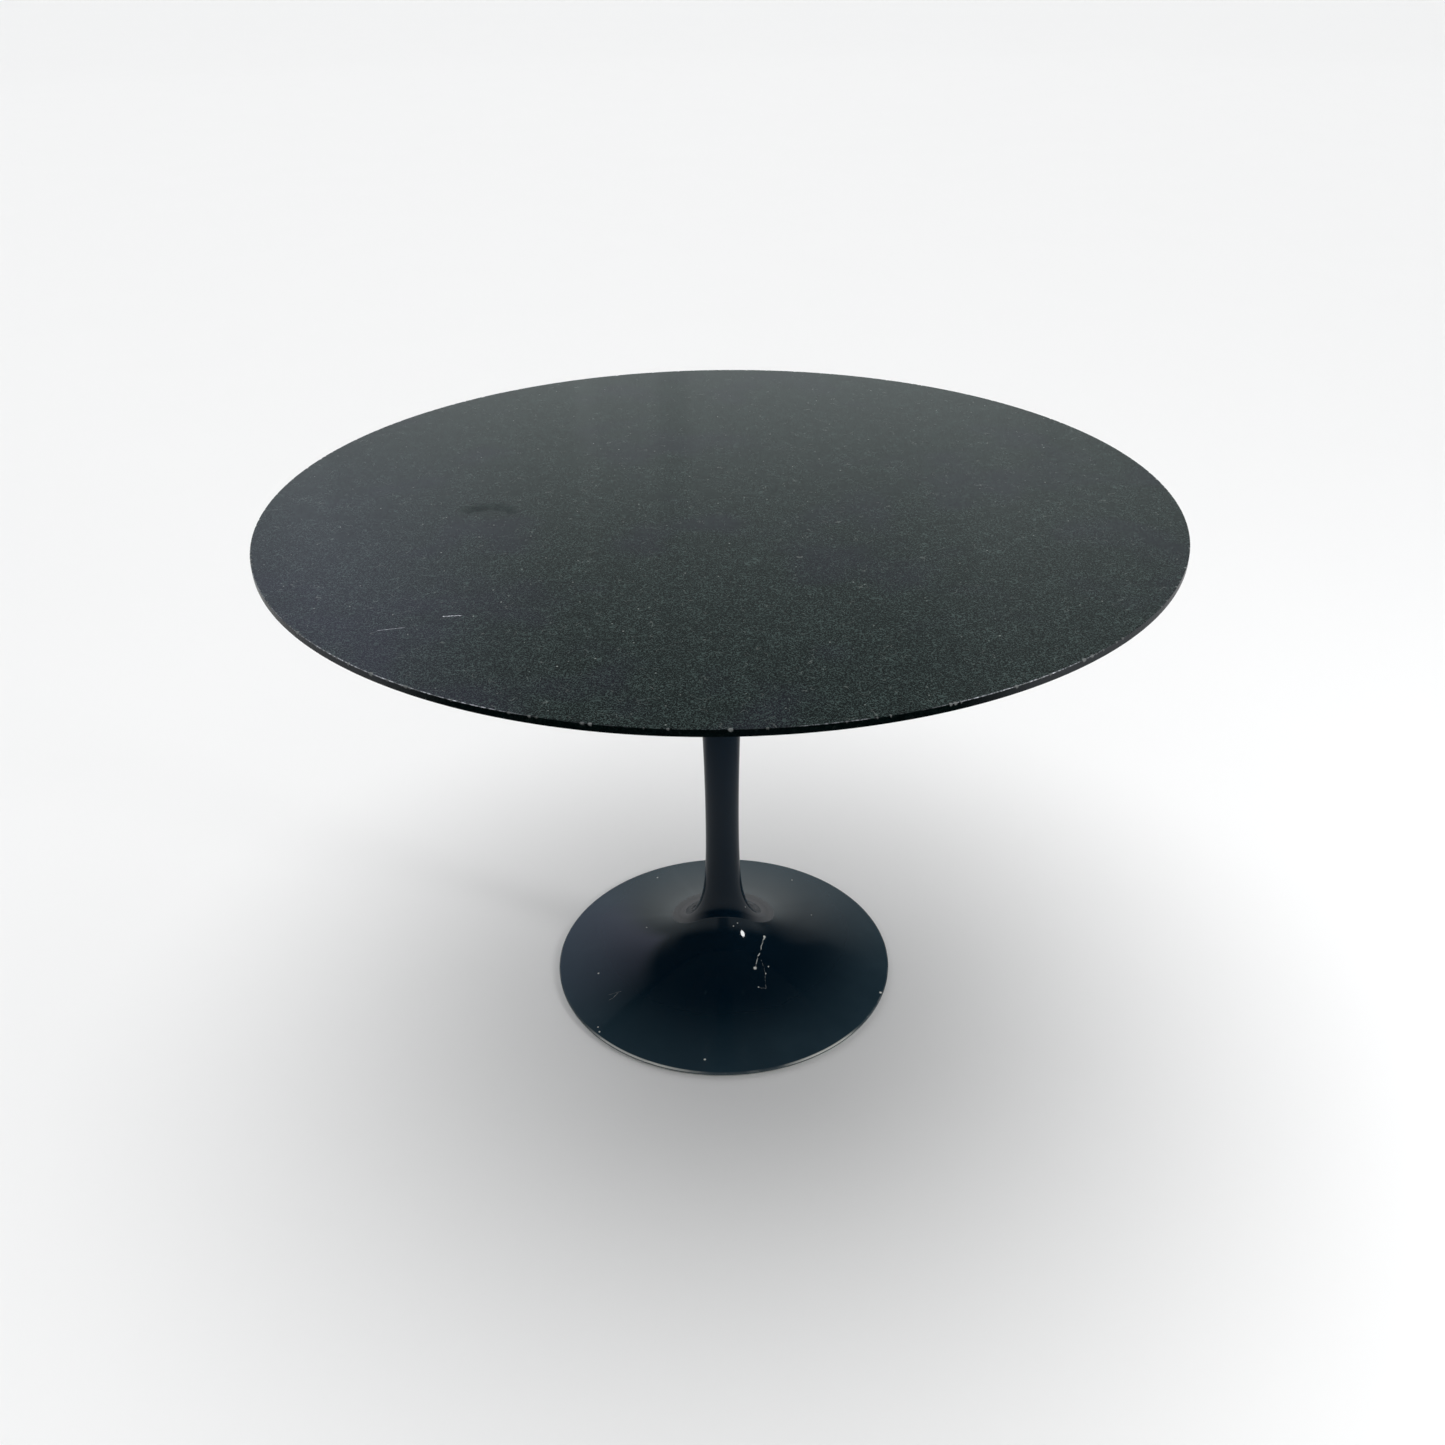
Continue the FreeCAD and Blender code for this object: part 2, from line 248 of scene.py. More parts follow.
def round_corner(before, corner, after, radius, steps=6, hold=0.15 * MM):
    """A corner of an outline, rounded.

    The circular arc of that radius touches both runs. Its points are the middle of the circle plus the
    start and end spokes, weighted by the sines of the rest and of the part of the sweep. One more point
    stands `hold` outside each end, so that smooth shading stays level along the runs.
    """
    before, corner, after = (np.array(p, float) for p in (before, corner, after))
    back = unit(before - corner)
    ahead = unit(after - corner)
    half = math.acos(float(back @ ahead)) / 2
    reach = radius / math.tan(half)
    middle = corner + unit(back + ahead) * radius / math.sin(half)
    first = corner + back * reach - middle
    last = corner + ahead * reach - middle
    sweep = math.pi - 2 * half
    part = np.linspace(0, 1, steps + 1)[:, None]
    arc = middle + (np.sin((1 - part) * sweep) * first + np.sin(part * sweep) * last) / math.sin(sweep)
    return np.vstack([corner + back * (reach + hold), arc, corner + ahead * (reach + hold)])


def turned_surface(name, radius, height, around, closed=False, poles=False):
    """A surface of revolution about Z, as one mesh object.

    Point (i, j) is (r cos a, r sin a, z): a is i of `around` equal parts of a turn, and r and z are the
    outline's radius and height at j, which may also differ with i. The outline runs outwards over the top,
    down the outside and back in underneath, so faces point outwards. A closed outline runs back to its
    start. With poles, each end of an open outline is closed by a fan round a point on the axis.
    """
    angle = TAU * np.arange(around)[:, None] / around
    radius = np.broadcast_to(radius, (around, np.shape(radius)[-1]))
    height = np.broadcast_to(height, radius.shape)
    points = np.stack([radius * np.cos(angle), radius * np.sin(angle), height], axis=-1).reshape(-1, 3)
    index = np.arange(radius.size).reshape(radius.shape)
    here = np.hstack([index, index[:, :1]]) if closed else index
    there = np.roll(here, -1, axis=0)
    quads = np.stack([here[:, :-1], here[:, 1:], there[:, 1:], there[:, :-1]], axis=-1).reshape(-1, 4)
    triangles = np.empty((0, 3), int)
    if poles:
        first_pole = np.full(around, len(points))
        last_pole = first_pole + 1
        points = np.vstack([points, [0, 0, height[:, 0].mean()], [0, 0, height[:, -1].mean()]])
        first_fan = np.stack([first_pole, here[:, 0], there[:, 0]], axis=-1)
        last_fan = np.stack([last_pole, there[:, -1], here[:, -1]], axis=-1)
        triangles = np.vstack([first_fan, last_fan])
    return mesh_object(name, points, quads, triangles)


def mesh_object(name, points, quads, triangles):
    """A smooth-shaded mesh object from arrays of points, quads and triangles."""
    corners = np.concatenate([quads.ravel(), triangles.ravel()]).astype(np.int32)
    sizes = np.concatenate([np.full(len(quads), 4), np.full(len(triangles), 3)])
    starts = np.concatenate([[0], np.cumsum(sizes)[:-1]]).astype(np.int32)
    mesh = bpy.data.meshes.new(name)
    mesh.vertices.add(len(points))
    mesh.vertices.foreach_set("co", points.astype(np.float32).ravel())
    mesh.loops.add(len(corners))
    mesh.loops.foreach_set("vertex_index", corners)
    mesh.polygons.add(len(sizes))
    mesh.polygons.foreach_set("loop_start", starts)
    mesh.polygons.foreach_set("use_smooth", np.ones(len(sizes), bool))
    mesh.update(calc_edges=True)
    if mesh.validate():
        raise ValueError(f"{name}: the mesh had faults")
    piece = bpy.data.objects.new(name, mesh)
    bpy.context.scene.collection.objects.link(piece)
    return piece


def node_span(node):
    """A CAD node's outer radius about Z, its lowest height and its highest height."""
    low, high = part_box(node)
    return min(-low.x, high.x, -low.y, high.y), low.z, high.z


def settle(piece, material, node):
    """Gives a new piece its material and its record slot, and puts it in place of a CAD node."""
    piece.data.materials.append(material)
    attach(piece, "root")
    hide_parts(node)


def refinish(node, material):
    """Gives a CAD node a finished material in every slot."""
    for material_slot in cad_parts[node].material_slots:
        material_slot.material = material


# ---------------------------------------------------------------------------------------------
# Granite top
# ---------------------------------------------------------------------------------------------


class StoneSettings(bpy.types.PropertyGroup):
    """The granite top."""

    edge_band: bpy.props.FloatProperty(
        name="Edge band", description="Height of the upright edge", default=7.8 * MM, unit="LENGTH"
    )
    bevel_width: bpy.props.FloatProperty(
        name="Bevel width", description="How far the bevel runs inwards", default=65 * MM, unit="LENGTH"
    )
    arris_radius: bpy.props.FloatProperty(
        name="Arris radius", description="Rounding of the upper edge", default=0.8 * MM, unit="LENGTH"
    )
    chip_count: bpy.props.IntProperty(
        name="Chips", description="How many small chips the upper edge has", default=150, min=0
    )
    chip_depth: bpy.props.FloatProperty(
        name="Chip depth", description="Depth of the deepest chip", default=0.7 * MM, unit="LENGTH"
    )
    ground: bpy.props.FloatVectorProperty(
        name="Ground", description="Colour of the ground", default=(0.0002, 0.0020, 0.0020), subtype="COLOR"
    )
    crystal: bpy.props.FloatVectorProperty(
        name="Crystal", description="Colour of the crystals", default=(0.047, 0.070, 0.066), subtype="COLOR"
    )
    violet: bpy.props.FloatVectorProperty(
        name="Violet", description="Colour of the clouds", default=(0.0050, 0.0048, 0.0110), subtype="COLOR"
    )
    spark: bpy.props.FloatVectorProperty(
        name="Spark", description="Colour of the bright specks", default=(0.30, 0.33, 0.31), subtype="COLOR"
    )
    sawn: bpy.props.FloatVectorProperty(
        name="Sawn stone", description="Colour underneath", default=(0.020, 0.022, 0.022), subtype="COLOR"
    )
    saw_mark: bpy.props.FloatVectorProperty(
        name="Saw marks", description="Colour of saw marks", default=(0.045, 0.05, 0.05), subtype="COLOR"
    )
    # This colour paints the scratches in the polish, the painted highlight on the arris and the painted
    # reflection on the band.
    arris: bpy.props.FloatVectorProperty(
        name="Arris", description="Colour of the scratches and of the painted highlight on the arris", default=(0.62, 0.64, 0.70), subtype="COLOR"
    )
    chip: bpy.props.FloatVectorProperty(
        name="Chipped stone", description="Colour of the chips", default=(0.15, 0.16, 0.16), subtype="COLOR"
    )


def stone_outline(radius, low, high, stone):
    """Outline of the top, from near the axis over the polished face, the band and the bevel, and back in."""
    middle_hold = 20 * MM
    wear_reach = np.array([9.0, 6.0, 4.0, 2.6, 1.7]) * MM
    face = np.column_stack([radius - wear_reach, np.full(wear_reach.size, high)])
    band_low = high - stone.edge_band
    band_drop = np.array([1.7, 2.6, 4.0]) * MM
    band = np.column_stack([np.full(band_drop.size, radius), high - band_drop])
    bevel_inside = (radius - stone.bevel_width, low)
    axis_high = (middle_hold, high)
    axis_low = (middle_hold, low)
    return np.vstack(
        [
            axis_high,
            face,
            round_corner(axis_high, (radius, high), (radius, band_low), stone.arris_radius),
            band,
            round_corner((radius, high), (radius, band_low), bevel_inside, 0.4 * MM),
            round_corner((radius, band_low), bevel_inside, axis_low, 2 * MM),
            axis_low,
        ]
    )


def chip_depths(around, radius, stone):
    """Depth of the chips in the upper edge at each step around it.

    Each chip is a parabola across its width; the deepest at each angle counts. Most are small, as the
    depths are the cube of an even spread.
    """
    spread = np.random.default_rng(17)
    places = spread.uniform(0, TAU, stone.chip_count)
    widths = spread.uniform(0.8, 3.0, stone.chip_count) * MM
    depths = (0.25 + 0.75 * spread.uniform(0, 1, stone.chip_count) ** 3) * stone.chip_depth
    angle = TAU * np.arange(around)[:, None] / around
    apart = np.abs((angle - places + math.pi) % TAU - math.pi) * radius
    return (depths * np.clip(1 - (apart / widths) ** 2, 0, None)).max(axis=1)


DULL_MARKS = (
    # start, end and half width of the dull marks on the polish, in metres, and how dull each is
    ((-0.290, -0.018), (-0.250, -0.020), 0.032, 0.42),
    ((0.436, 0.070), (0.421, -0.010), 0.012, 0.17),
    ((0.335, 0.060), (0.375, 0.045), 0.015, 0.17),
)

TOP_SCRATCHES = (
    # start, end and half width of the fine scratches in the polish, in metres, and how strong each is
    ((-0.278, -0.311), (-0.260, -0.309), 0.0010, 1.0),
    ((-0.338, -0.341), (-0.312, -0.335), 0.0006, 0.6),
)

CRYSTAL_SIZES = (
    # crystals a metre, half width of a hair as a share of the noise, and how sparse the hairs are
    (75.0, 0.022, 0.54),
    (190.0, 0.060, 0.52),
    (320.0, 0.090, 0.52),
    (520.0, 0.130, 0.51),
)

# crystals a metre, half width and sparseness of the few long pale hairs
LONG_HAIRS = (70.0, 0.010, 0.54)

# where the edge band is greyed as a painted reflection, and where the pale line on the arris above it is a
# painted highlight: middle, outer and inner half width of each arc, in degrees from +X towards +Y
BAND_REFLECTION_ARCS = ((-142.0, 26.0, 12.0), (-40.0, 28.0, 14.0))
ARRIS_HIGHLIGHT_ARCS = ((-126.0, 20.0, 8.0), (-60.0, 12.0, 4.0))


def hair_crystals(nodes, place, scale, width, sparse):
    """Curved crystals of one size: thin lines where a noise crosses its middle, broken by a second noise."""
    curl = abs(nodes.noise(place, scale, 1.0) - 0.5)
    gaps = nodes.noise(nodes.vector("ADD", place, (scale, 0.0, 0.0)), scale * 1.4, 1.0)
    return nodes.fade(curl, width, width * 0.35) * nodes.fade(gaps, sparse, sparse + 0.10)


def fine_crystals(nodes, place):
    """Curved crystals of all the sizes together."""
    return largest(hair_crystals(nodes, place, *size) for size in CRYSTAL_SIZES)


def top_scratches(nodes, place, high):
    """Fine pale scratches in the polish."""
    breaks = nodes.fade(nodes.noise(place, 300.0, 2.0), 0.36, 0.54)
    return largest(
        nodes.scratch(place, (*start, high), (*end, high), half_width, breaks * 0.5) * strength
        for start, end, half_width, strength in TOP_SCRATCHES
    )


def dull_marks(nodes, place, high):
    """How dull the polish is at the wiped marks."""
    ragged = (nodes.noise(place, 45.0, 3.0) - 0.5) * 1.5
    return largest(
        nodes.scratch(place, (*start, high), (*end, high), half_width, ragged, 0.15) * strength
        for start, end, half_width, strength in DULL_MARKS
    )


def granite(nodes, stone):
    """Dark green-black granite: fine curved pale crystals, violet clouds, a polish with smears.

    The edge band is darker, as painted shade, and greyed in two arcs as a painted reflection. The underside
    is sawn, the arris carries a thin pale line that is partly wear and partly a painted highlight, brightest
    in two arcs, and its chips are grey.
    """
    radius, low, high = node_span("stone_top")
    place = nodes.coordinates()
    x, y, z = nodes.axes(place)
    angle = y.angle(x)
    chip = nodes.add("ShaderNodeAttribute", {"attribute_name": "chip"}, output="Fac")
    flecks = fine_crystals(nodes, place)
    long_hairs = hair_crystals(nodes, place, *LONG_HAIRS)
    density = nodes.fade(nodes.noise(place, 34.0, 3.0), 0.20, 0.80)
    grit = nodes.fade(nodes.noise(place, 520.0, 2.0), 0.35, 0.70)
    clouds = nodes.fade(nodes.noise(place, 7.5, 2.0), 0.50, 0.70)
    chance = nodes.axes(nodes.cells(place, 85.0, "Color"))[0]
    spark = nodes.fade(nodes.cells(place, 85.0, "Distance"), 0.10, 0.05) * nodes.fade(chance, 0.68, 1.0)
    ground = nodes.mix(clouds, stone.ground, stone.violet)
    salted = nodes.mix(grit * 0.09, ground, stone.crystal)
    crystals = nodes.mix(flecks * (0.60 + 0.40 * density), salted, stone.crystal)
    clouded = nodes.mix(clouds * 0.25, crystals, stone.violet)
    haired = nodes.mix(long_hairs * 0.22, clouded, stone.spark)
    scratched = nodes.mix(top_scratches(nodes, place, high), haired, stone.arris)
    sparked = nodes.mix(spark * 0.8, scratched, stone.spark)
    # Painted shade: the edge band below the polished face is darkened nearly to the ground colour.
    band = nodes.fade(z, high - 0.02 * MM, high - 0.4 * MM)
    band_painted_shade = nodes.mix(band * 0.92, sparked, stone.ground)
    # Painted reflection: the band is greyed towards the pale colour in two arcs.
    polished = nodes.mix(band * nodes.arcs(angle, BAND_REFLECTION_ARCS) * 0.06, band_painted_shade, stone.arris)

    under = nodes.fade(z, low + 0.4 * MM, low + 0.1 * MM)
    saw = nodes.noise(nodes.stretched(place, (3, 420, 1)), 1.0, 2.0)
    sawn = nodes.mix(saw * 0.5 + flecks * 0.3, stone.sawn, stone.saw_mark)
    slab = nodes.mix(under, polished, sawn)

    across = nodes.length(nodes.level(place))
    # The thin pale line on the arris: partly wear, broken by noise, and partly a painted highlight, strongest
    # in two arcs.
    from_arris = abs(across - (radius - 0.35 * MM)).most(abs(z - (high - 0.1 * MM)))
    broken_line = nodes.fade(nodes.noise(place, 210.0, 4.0, 0.7), 0.42, 0.66)
    patches = nodes.fade(nodes.noise(place, 9.0, 1.0), 0.54, 0.62)
    arris_highlight_and_wear = nodes.arcs(angle, ARRIS_HIGHLIGHT_ARCS).most(0.05 + 0.35 * patches)
    wear_and_highlight_line = (0.10 + 0.90 * broken_line) * arris_highlight_and_wear
    arris = nodes.fade(from_arris, 0.55 * MM, 0.25 * MM) * wear_and_highlight_line
    lined = nodes.mix(arris, slab, stone.arris)
    chipped = nodes.mix(nodes.fade(chip, 0.05, 0.35), lined, stone.chip)

    smear = nodes.fade(nodes.noise(nodes.stretched(place, (5, 9, 1), 0.6), 1.0, 3.0), 0.45, 0.8)
    wander = nodes.noise(place, 90.0, 1.0)
    worn = nodes.fade(chip, 0.02, 0.2)
    rough_spots = (under * 0.6).most(worn * 0.55).most(dull_marks(nodes, place, high))
    fine = nodes.bump(flecks, 0.005 * MM, 0.25)
    return {
        "Base Color": chipped,
        "Roughness": (0.045 + 0.05 * smear + 0.02 * wander).most(rough_spots),
        "IOR": 1.32,
        "Normal": nodes.bump(nodes.noise(place, 900.0, 3.0), 0.25 * MM, worn.most(under * 0.4), fine),
    }


class PEDESTAL_TABLE_OT_stone_top(bpy.types.Operator):
    """Makes the granite top: a turned slab with a bevelled underside and a chipped upper edge"""

    bl_idname = "pedestal_table.stone_top"
    bl_label = "Stone Top"

    def execute(self, context):
        # The outline is the same all round, less the bite of the chips, which fades out away from the
        # upper edge. The bite's share of the deepest chip is kept on each point for the material.
        stone = context.scene.pedestal_table.stone
        radius, low, high = node_span("stone_top")
        outline = stone_outline(radius, low, high, stone)
        around = 2160
        depth = chip_depths(around, radius, stone)[:, None]
        edge_distance = np.hypot(outline[:, 0] - radius, outline[:, 1] - high)
        chip_reach = 3.2 * MM
        bite = depth * np.clip(1 - edge_distance / chip_reach, 0, 1)
        bitten_radius = outline[:, 0] - bite * 0.8
        bitten_height = outline[:, 1] - bite * 0.7
        top = turned_surface("granite_top", bitten_radius, bitten_height, around, poles=True)
        chip = np.zeros(len(top.data.vertices), np.float32)
        chip[: bite.size] = (bite / stone.chip_depth).ravel()
        attribute = top.data.attributes.new("chip", "FLOAT", "POINT")
        attribute.data.foreach_set("value", chip)
        settle(top, surface("polished granite", granite, stone), "stone_top")
        return {"FINISHED"}


# ---------------------------------------------------------------------------------------------
# Trumpet pedestal
# ---------------------------------------------------------------------------------------------


class PedestalSettings(bpy.types.PropertyGroup):
    """The cast pedestal."""

    core_radius: bpy.props.FloatProperty(
        name="Core radius", description="Radius that the stem narrows to", default=22.7 * MM, unit="LENGTH"
    )
    mouth_radius: bpy.props.FloatProperty(
        name="Mouth radius", description="Radius at the top of the stem", default=47 * MM, unit="LENGTH"
    )
    flare_height: bpy.props.FloatProperty(
        name="Flare height",
        description="Height in which the foot's flare falls to about a third",
        default=33.5 * MM,
        unit="LENGTH",
    )
    waist_height: bpy.props.FloatProperty(
        name="Waist height", description="Height above which the stem widens", default=215 * MM, unit="LENGTH"
    )
    neck_power: bpy.props.FloatProperty(
        name="Neck power", description="How late the stem widens towards its mouth", default=2.4
    )
    rim_top: bpy.props.FloatProperty(
        name="Rim height", description="Height of the rim's upper edge", default=6 * MM, unit="LENGTH"
    )
    wall: bpy.props.FloatProperty(
        name="Wall", description="Thickness of the casting", default=6 * MM, unit="LENGTH"
    )
    web: bpy.props.FloatProperty(
        name="Web", description="Thickness of the web across the throat", default=8 * MM, unit="LENGTH"
    )
    foot_width: bpy.props.FloatProperty(
        name="Foot width", description="Width of the flat ring under the rim", default=14 * MM, unit="LENGTH"
    )
    coat: bpy.props.FloatVectorProperty(
        name="Coat", description="Colour of the gloss coat", default=(0.0012, 0.0085, 0.0170), subtype="COLOR"
    )
    # Near the rim the coat turns this colour: partly settled dust, partly painted light.
    haze: bpy.props.FloatVectorProperty(
        name="Haze",
        description="Colour near the rim: dust and painted light",
        default=(0.022, 0.045, 0.062),
        subtype="COLOR",
    )
    # This colour also paints the highlight on the rim's edge.
    primer: bpy.props.FloatVectorProperty(
        name="Primer",
        description="Colour of the chips, and of the painted highlight on the rim",
        default=(0.74, 0.75, 0.71),
        subtype="COLOR",
    )


def pedestal_radius(height, mouth, rim, pedestal):
    """Outer radius: the core, plus a flare that dies away upwards, plus a widening above the waist."""
    flare = (rim - pedestal.core_radius) * np.exp(-(height - pedestal.rim_top) / pedestal.flare_height)
    above = np.clip((height - pedestal.waist_height) / (mouth - pedestal.waist_height), 0, None)
    widening = (pedestal.mouth_radius - pedestal.core_radius) * above**pedestal.neck_power
    return pedestal.core_radius + flare + widening


def pedestal_outline(rim, foot, mouth, pedestal):
    """Outline of the hollow casting: down the outside, in under the foot and up the inner wall.

    The outer heights are even steps to a power, which crowds them towards the rim. The inner wall is the
    outer one moved square to itself by the wall's thickness. A web crosses the throat and leaves a hole
    for the tie rod.
    """
    steps = 140
    crowding = 2.2
    share = np.linspace(1, 0, steps) ** crowding
    height = pedestal.rim_top + (mouth - pedestal.rim_top) * share
    radius = pedestal_radius(height, mouth, rim, pedestal)
    outer = np.column_stack([radius, height])
    slope = np.gradient(radius, height)
    across = pedestal.wall / np.hypot(1, slope)
    inner = np.column_stack([radius - across, height + slope * across])[::-1]
    web_low = node_span("clamp_plate")[2]
    web_high = web_low + pedestal.web
    hole = 9 * MM
    web_low_in = np.interp(web_low, inner[:, 1], inner[:, 0])
    web_high_in = np.interp(web_high, inner[:, 1], inner[:, 0])
    rim_round = 1.6 * MM
    small_round = 0.3 * MM
    mouth_round = 0.4 * MM
    margin = 0.5 * MM
    skirt = inner[(inner[:, 1] > foot + 4 * MM) & (inner[:, 1] < web_low - margin)]
    throat = inner[(inner[:, 1] > web_high + 2 * margin) & (inner[:, 1] < mouth - 2 * margin)]
    outside = outer[(outer[:, 0] < rim - 2.2 * rim_round) & (outer[:, 1] < mouth - 2 * margin)]
    mouth_in = (pedestal.mouth_radius - pedestal.wall, mouth)
    mouth_out = (pedestal.mouth_radius, mouth)
    rim_edge = (rim, pedestal.rim_top)
    foot_out = (rim, foot)
    foot_in = (rim - pedestal.foot_width, foot)
    return np.vstack(
        [
            round_corner(mouth_in, mouth_out, outside[0], mouth_round),
            outside,
            round_corner(outside[-1], rim_edge, foot_out, rim_round, steps=10),
            round_corner(rim_edge, foot_out, foot_in, small_round),
            round_corner(foot_out, foot_in, skirt[0], 0.6 * MM),
            skirt,
            round_corner(skirt[-1], (web_low_in, web_low), (hole, web_low), small_round),
            round_corner((web_low_in, web_low), (hole, web_low), (hole, web_high), small_round),
            round_corner((hole, web_low), (hole, web_high), (web_high_in, web_high), small_round),
            round_corner((hole, web_high), (web_high_in, web_high), throat[0], small_round),
            throat,
            round_corner(throat[-1], mouth_in, mouth_out, mouth_round),
        ]
    )


CHIP_SPOTS = (
    # angle in degrees, radius on the foot and radius of the chip in millimetres
    (-24, 64, 2.2),
    (-60, 88, 2.6),
    (-69, 40, 1.0),
    (-59, 39, 0.9),
    (-22, 34, 0.9),
    (-48, 94, 1.2),
    (119, 213, 1.4),
    (-165, 186, 1.3),
    (-97, 219, 1.7),
    (-54, 100, 0.9),
    (-65, 114, 1.0),
    (-139, 230, 1.2),
    (-137, 234, 1.3),
    (-21, 237, 2.0),
    (58, 205, 1.2),
    (164, 118, 1.1),
    (96, 172, 1.0),
    (28, 150, 0.9),
)

SCRATCHES = (
    # start and end as (angle in degrees, radius in millimetres), half width in millimetres, strength
    ((-24, 64), (-41, 70), 0.9, 1.0),
    ((-41, 70), (-60, 88), 0.75, 1.0),
    ((-50, 82), (-54, 100), 0.35, 0.30),
    ((-54, 100), (-61, 120), 0.35, 0.30),
    ((-61, 120), (-65, 114), 0.35, 0.25),
    ((-147, 192), (-148, 176), 0.4, 0.28),
    ((-150, 188), (-148, 171), 0.35, 0.22),
    ((18, 76), (40, 78), 0.45, 0.28),
    ((40, 78), (62, 74), 0.4, 0.20),
    ((140, 72), (158, 70), 0.4, 0.22),
)


def on_pedestal(angle, distance, rim, mouth, pedestal):
    """The point of the foot's outer face at an angle in degrees and a distance from the axis."""
    heights = np.linspace(pedestal.waist_height, pedestal.rim_top, 2000)
    radii = pedestal_radius(heights, mouth, rim, pedestal)
    height = float(np.interp(distance, radii, heights))
    turn = math.radians(angle)
    return (distance * math.cos(turn), distance * math.sin(turn), height)


# where the rim's edge carries a painted highlight in the primer's colour: middle, outer and inner half width
# of each arc
RIM_HIGHLIGHT_ARCS = ((-119.0, 26.0, 8.0), (-56.0, 18.0, 5.0))


def bare_spots(nodes, place, ragged, rim, mouth, pedestal):
    """Chips down to the primer."""
    return largest(
        nodes.spot(place, on_pedestal(angle, distance * MM, rim, mouth, pedestal), size * MM, ragged)
        for angle, distance, size in CHIP_SPOTS
    )


def hairlines(nodes, place, ragged, rim, mouth, pedestal):
    """Broken, slightly wandering scratches."""
    wander = 6 * MM
    wobble = nodes.vector("MULTIPLY", nodes.noise(place, 110.0, output="Color"), (wander, wander, 0.0))
    centred = nodes.vector("SUBTRACT", wobble, (wander / 2, wander / 2, 0.0))
    bent = nodes.vector("ADD", place, centred)
    breaks = nodes.fade(nodes.noise(place, 240.0, 1.0), 0.34, 0.52)
    lines = []
    for start, end, half_width, strength in SCRATCHES:
        ends = [on_pedestal(angle, distance * MM, rim, mouth, pedestal) for angle, distance in (start, end)]
        lines.append(nodes.scratch(bent, *ends, half_width * MM, ragged * 1.6) * breaks * strength)
    return largest(lines)


def enamel(nodes, pedestal):
    """Gloss black coat: orange peel, smears, dust, hair scratches, chips down to the primer, a pale rim line
    that is partly wear and partly a painted highlight, and a tint that grows lighter towards the rim, partly
    dust and partly painted light.
    """
    rim, foot, mouth = node_span("pedestal")
    place = nodes.coordinates()
    x, y, z = nodes.axes(place)
    across = nodes.length(nodes.level(place))
    ragged = nodes.noise(place, 900.0, 2.0) - 0.5
    bare = bare_spots(nodes, place, ragged, rim, mouth, pedestal)
    scratched = bare.most(hairlines(nodes, place, ragged, rim, mouth, pedestal))
    # The rim's edge: a faint patchy pale line of wear all round, and a painted highlight in two arcs, both in
    # the primer's colour.
    rim_edge_mask = nodes.fade(across, rim - 2.4 * MM, rim - 0.9 * MM)
    rim_edge_mask = rim_edge_mask * nodes.fade(z, foot + 1.0 * MM, foot + 2.2 * MM)
    patchy = nodes.fade(nodes.noise(place, 38.0, 3.0), 0.50, 0.62)
    rim_wear_and_highlight = rim_edge_mask * (0.04 + 0.08 * patchy + 0.70 * nodes.arcs(y.angle(x), RIM_HIGHLIGHT_ARCS))
    # Chips and scratches, and the painted rim highlight.
    marks = scratched.most(rim_wear_and_highlight)
    dust = nodes.fade(nodes.noise(place, 14.0, 4.0, 0.6), 0.42, 0.78)
    # Lighter and bluer towards the rim: partly settled dust, partly painted light where the top shades the
    # middle less.
    rim_dust_and_light = nodes.fade(across, 0.11, rim + 10 * MM) * (0.78 + 0.22 * dust)
    coat = nodes.mix(rim_dust_and_light, pedestal.coat, pedestal.haze)
    smears = nodes.fade(nodes.noise(nodes.stretched(place, (9, 9, 4)), 1.0, 4.0, 0.6, 0.6), 0.40, 0.85)
    peel = nodes.bump(nodes.noise(place, 260.0, 1.0), 0.02 * MM, 0.25)
    return {
        "Base Color": nodes.mix(marks, coat, pedestal.primer),
        "Roughness": (0.05 + 0.07 * smears + 0.03 * dust).most(marks * 0.6),
        "IOR": 1.48,
        "Normal": nodes.bump(1.0 - scratched, 0.25 * MM, 0.8, peel),
    }


class PEDESTAL_TABLE_OT_pedestal(bpy.types.Operator):
    """Makes the trumpet pedestal: one hollow turned casting with a chipped gloss coat"""

    bl_idname = "pedestal_table.pedestal"
    bl_label = "Pedestal"

    def execute(self, context):
        pedestal = context.scene.pedestal_table.pedestal
        rim, foot, mouth = node_span("pedestal")
        outline = pedestal_outline(rim, foot, mouth, pedestal)
        casting = turned_surface("trumpet_pedestal", outline[:, 0], outline[:, 1], 256, closed=True)
        settle(casting, surface("gloss black coat", enamel, pedestal), "pedestal")
        return {"FINISHED"}


# ---------------------------------------------------------------------------------------------
# Glide ring and hardware
# ---------------------------------------------------------------------------------------------


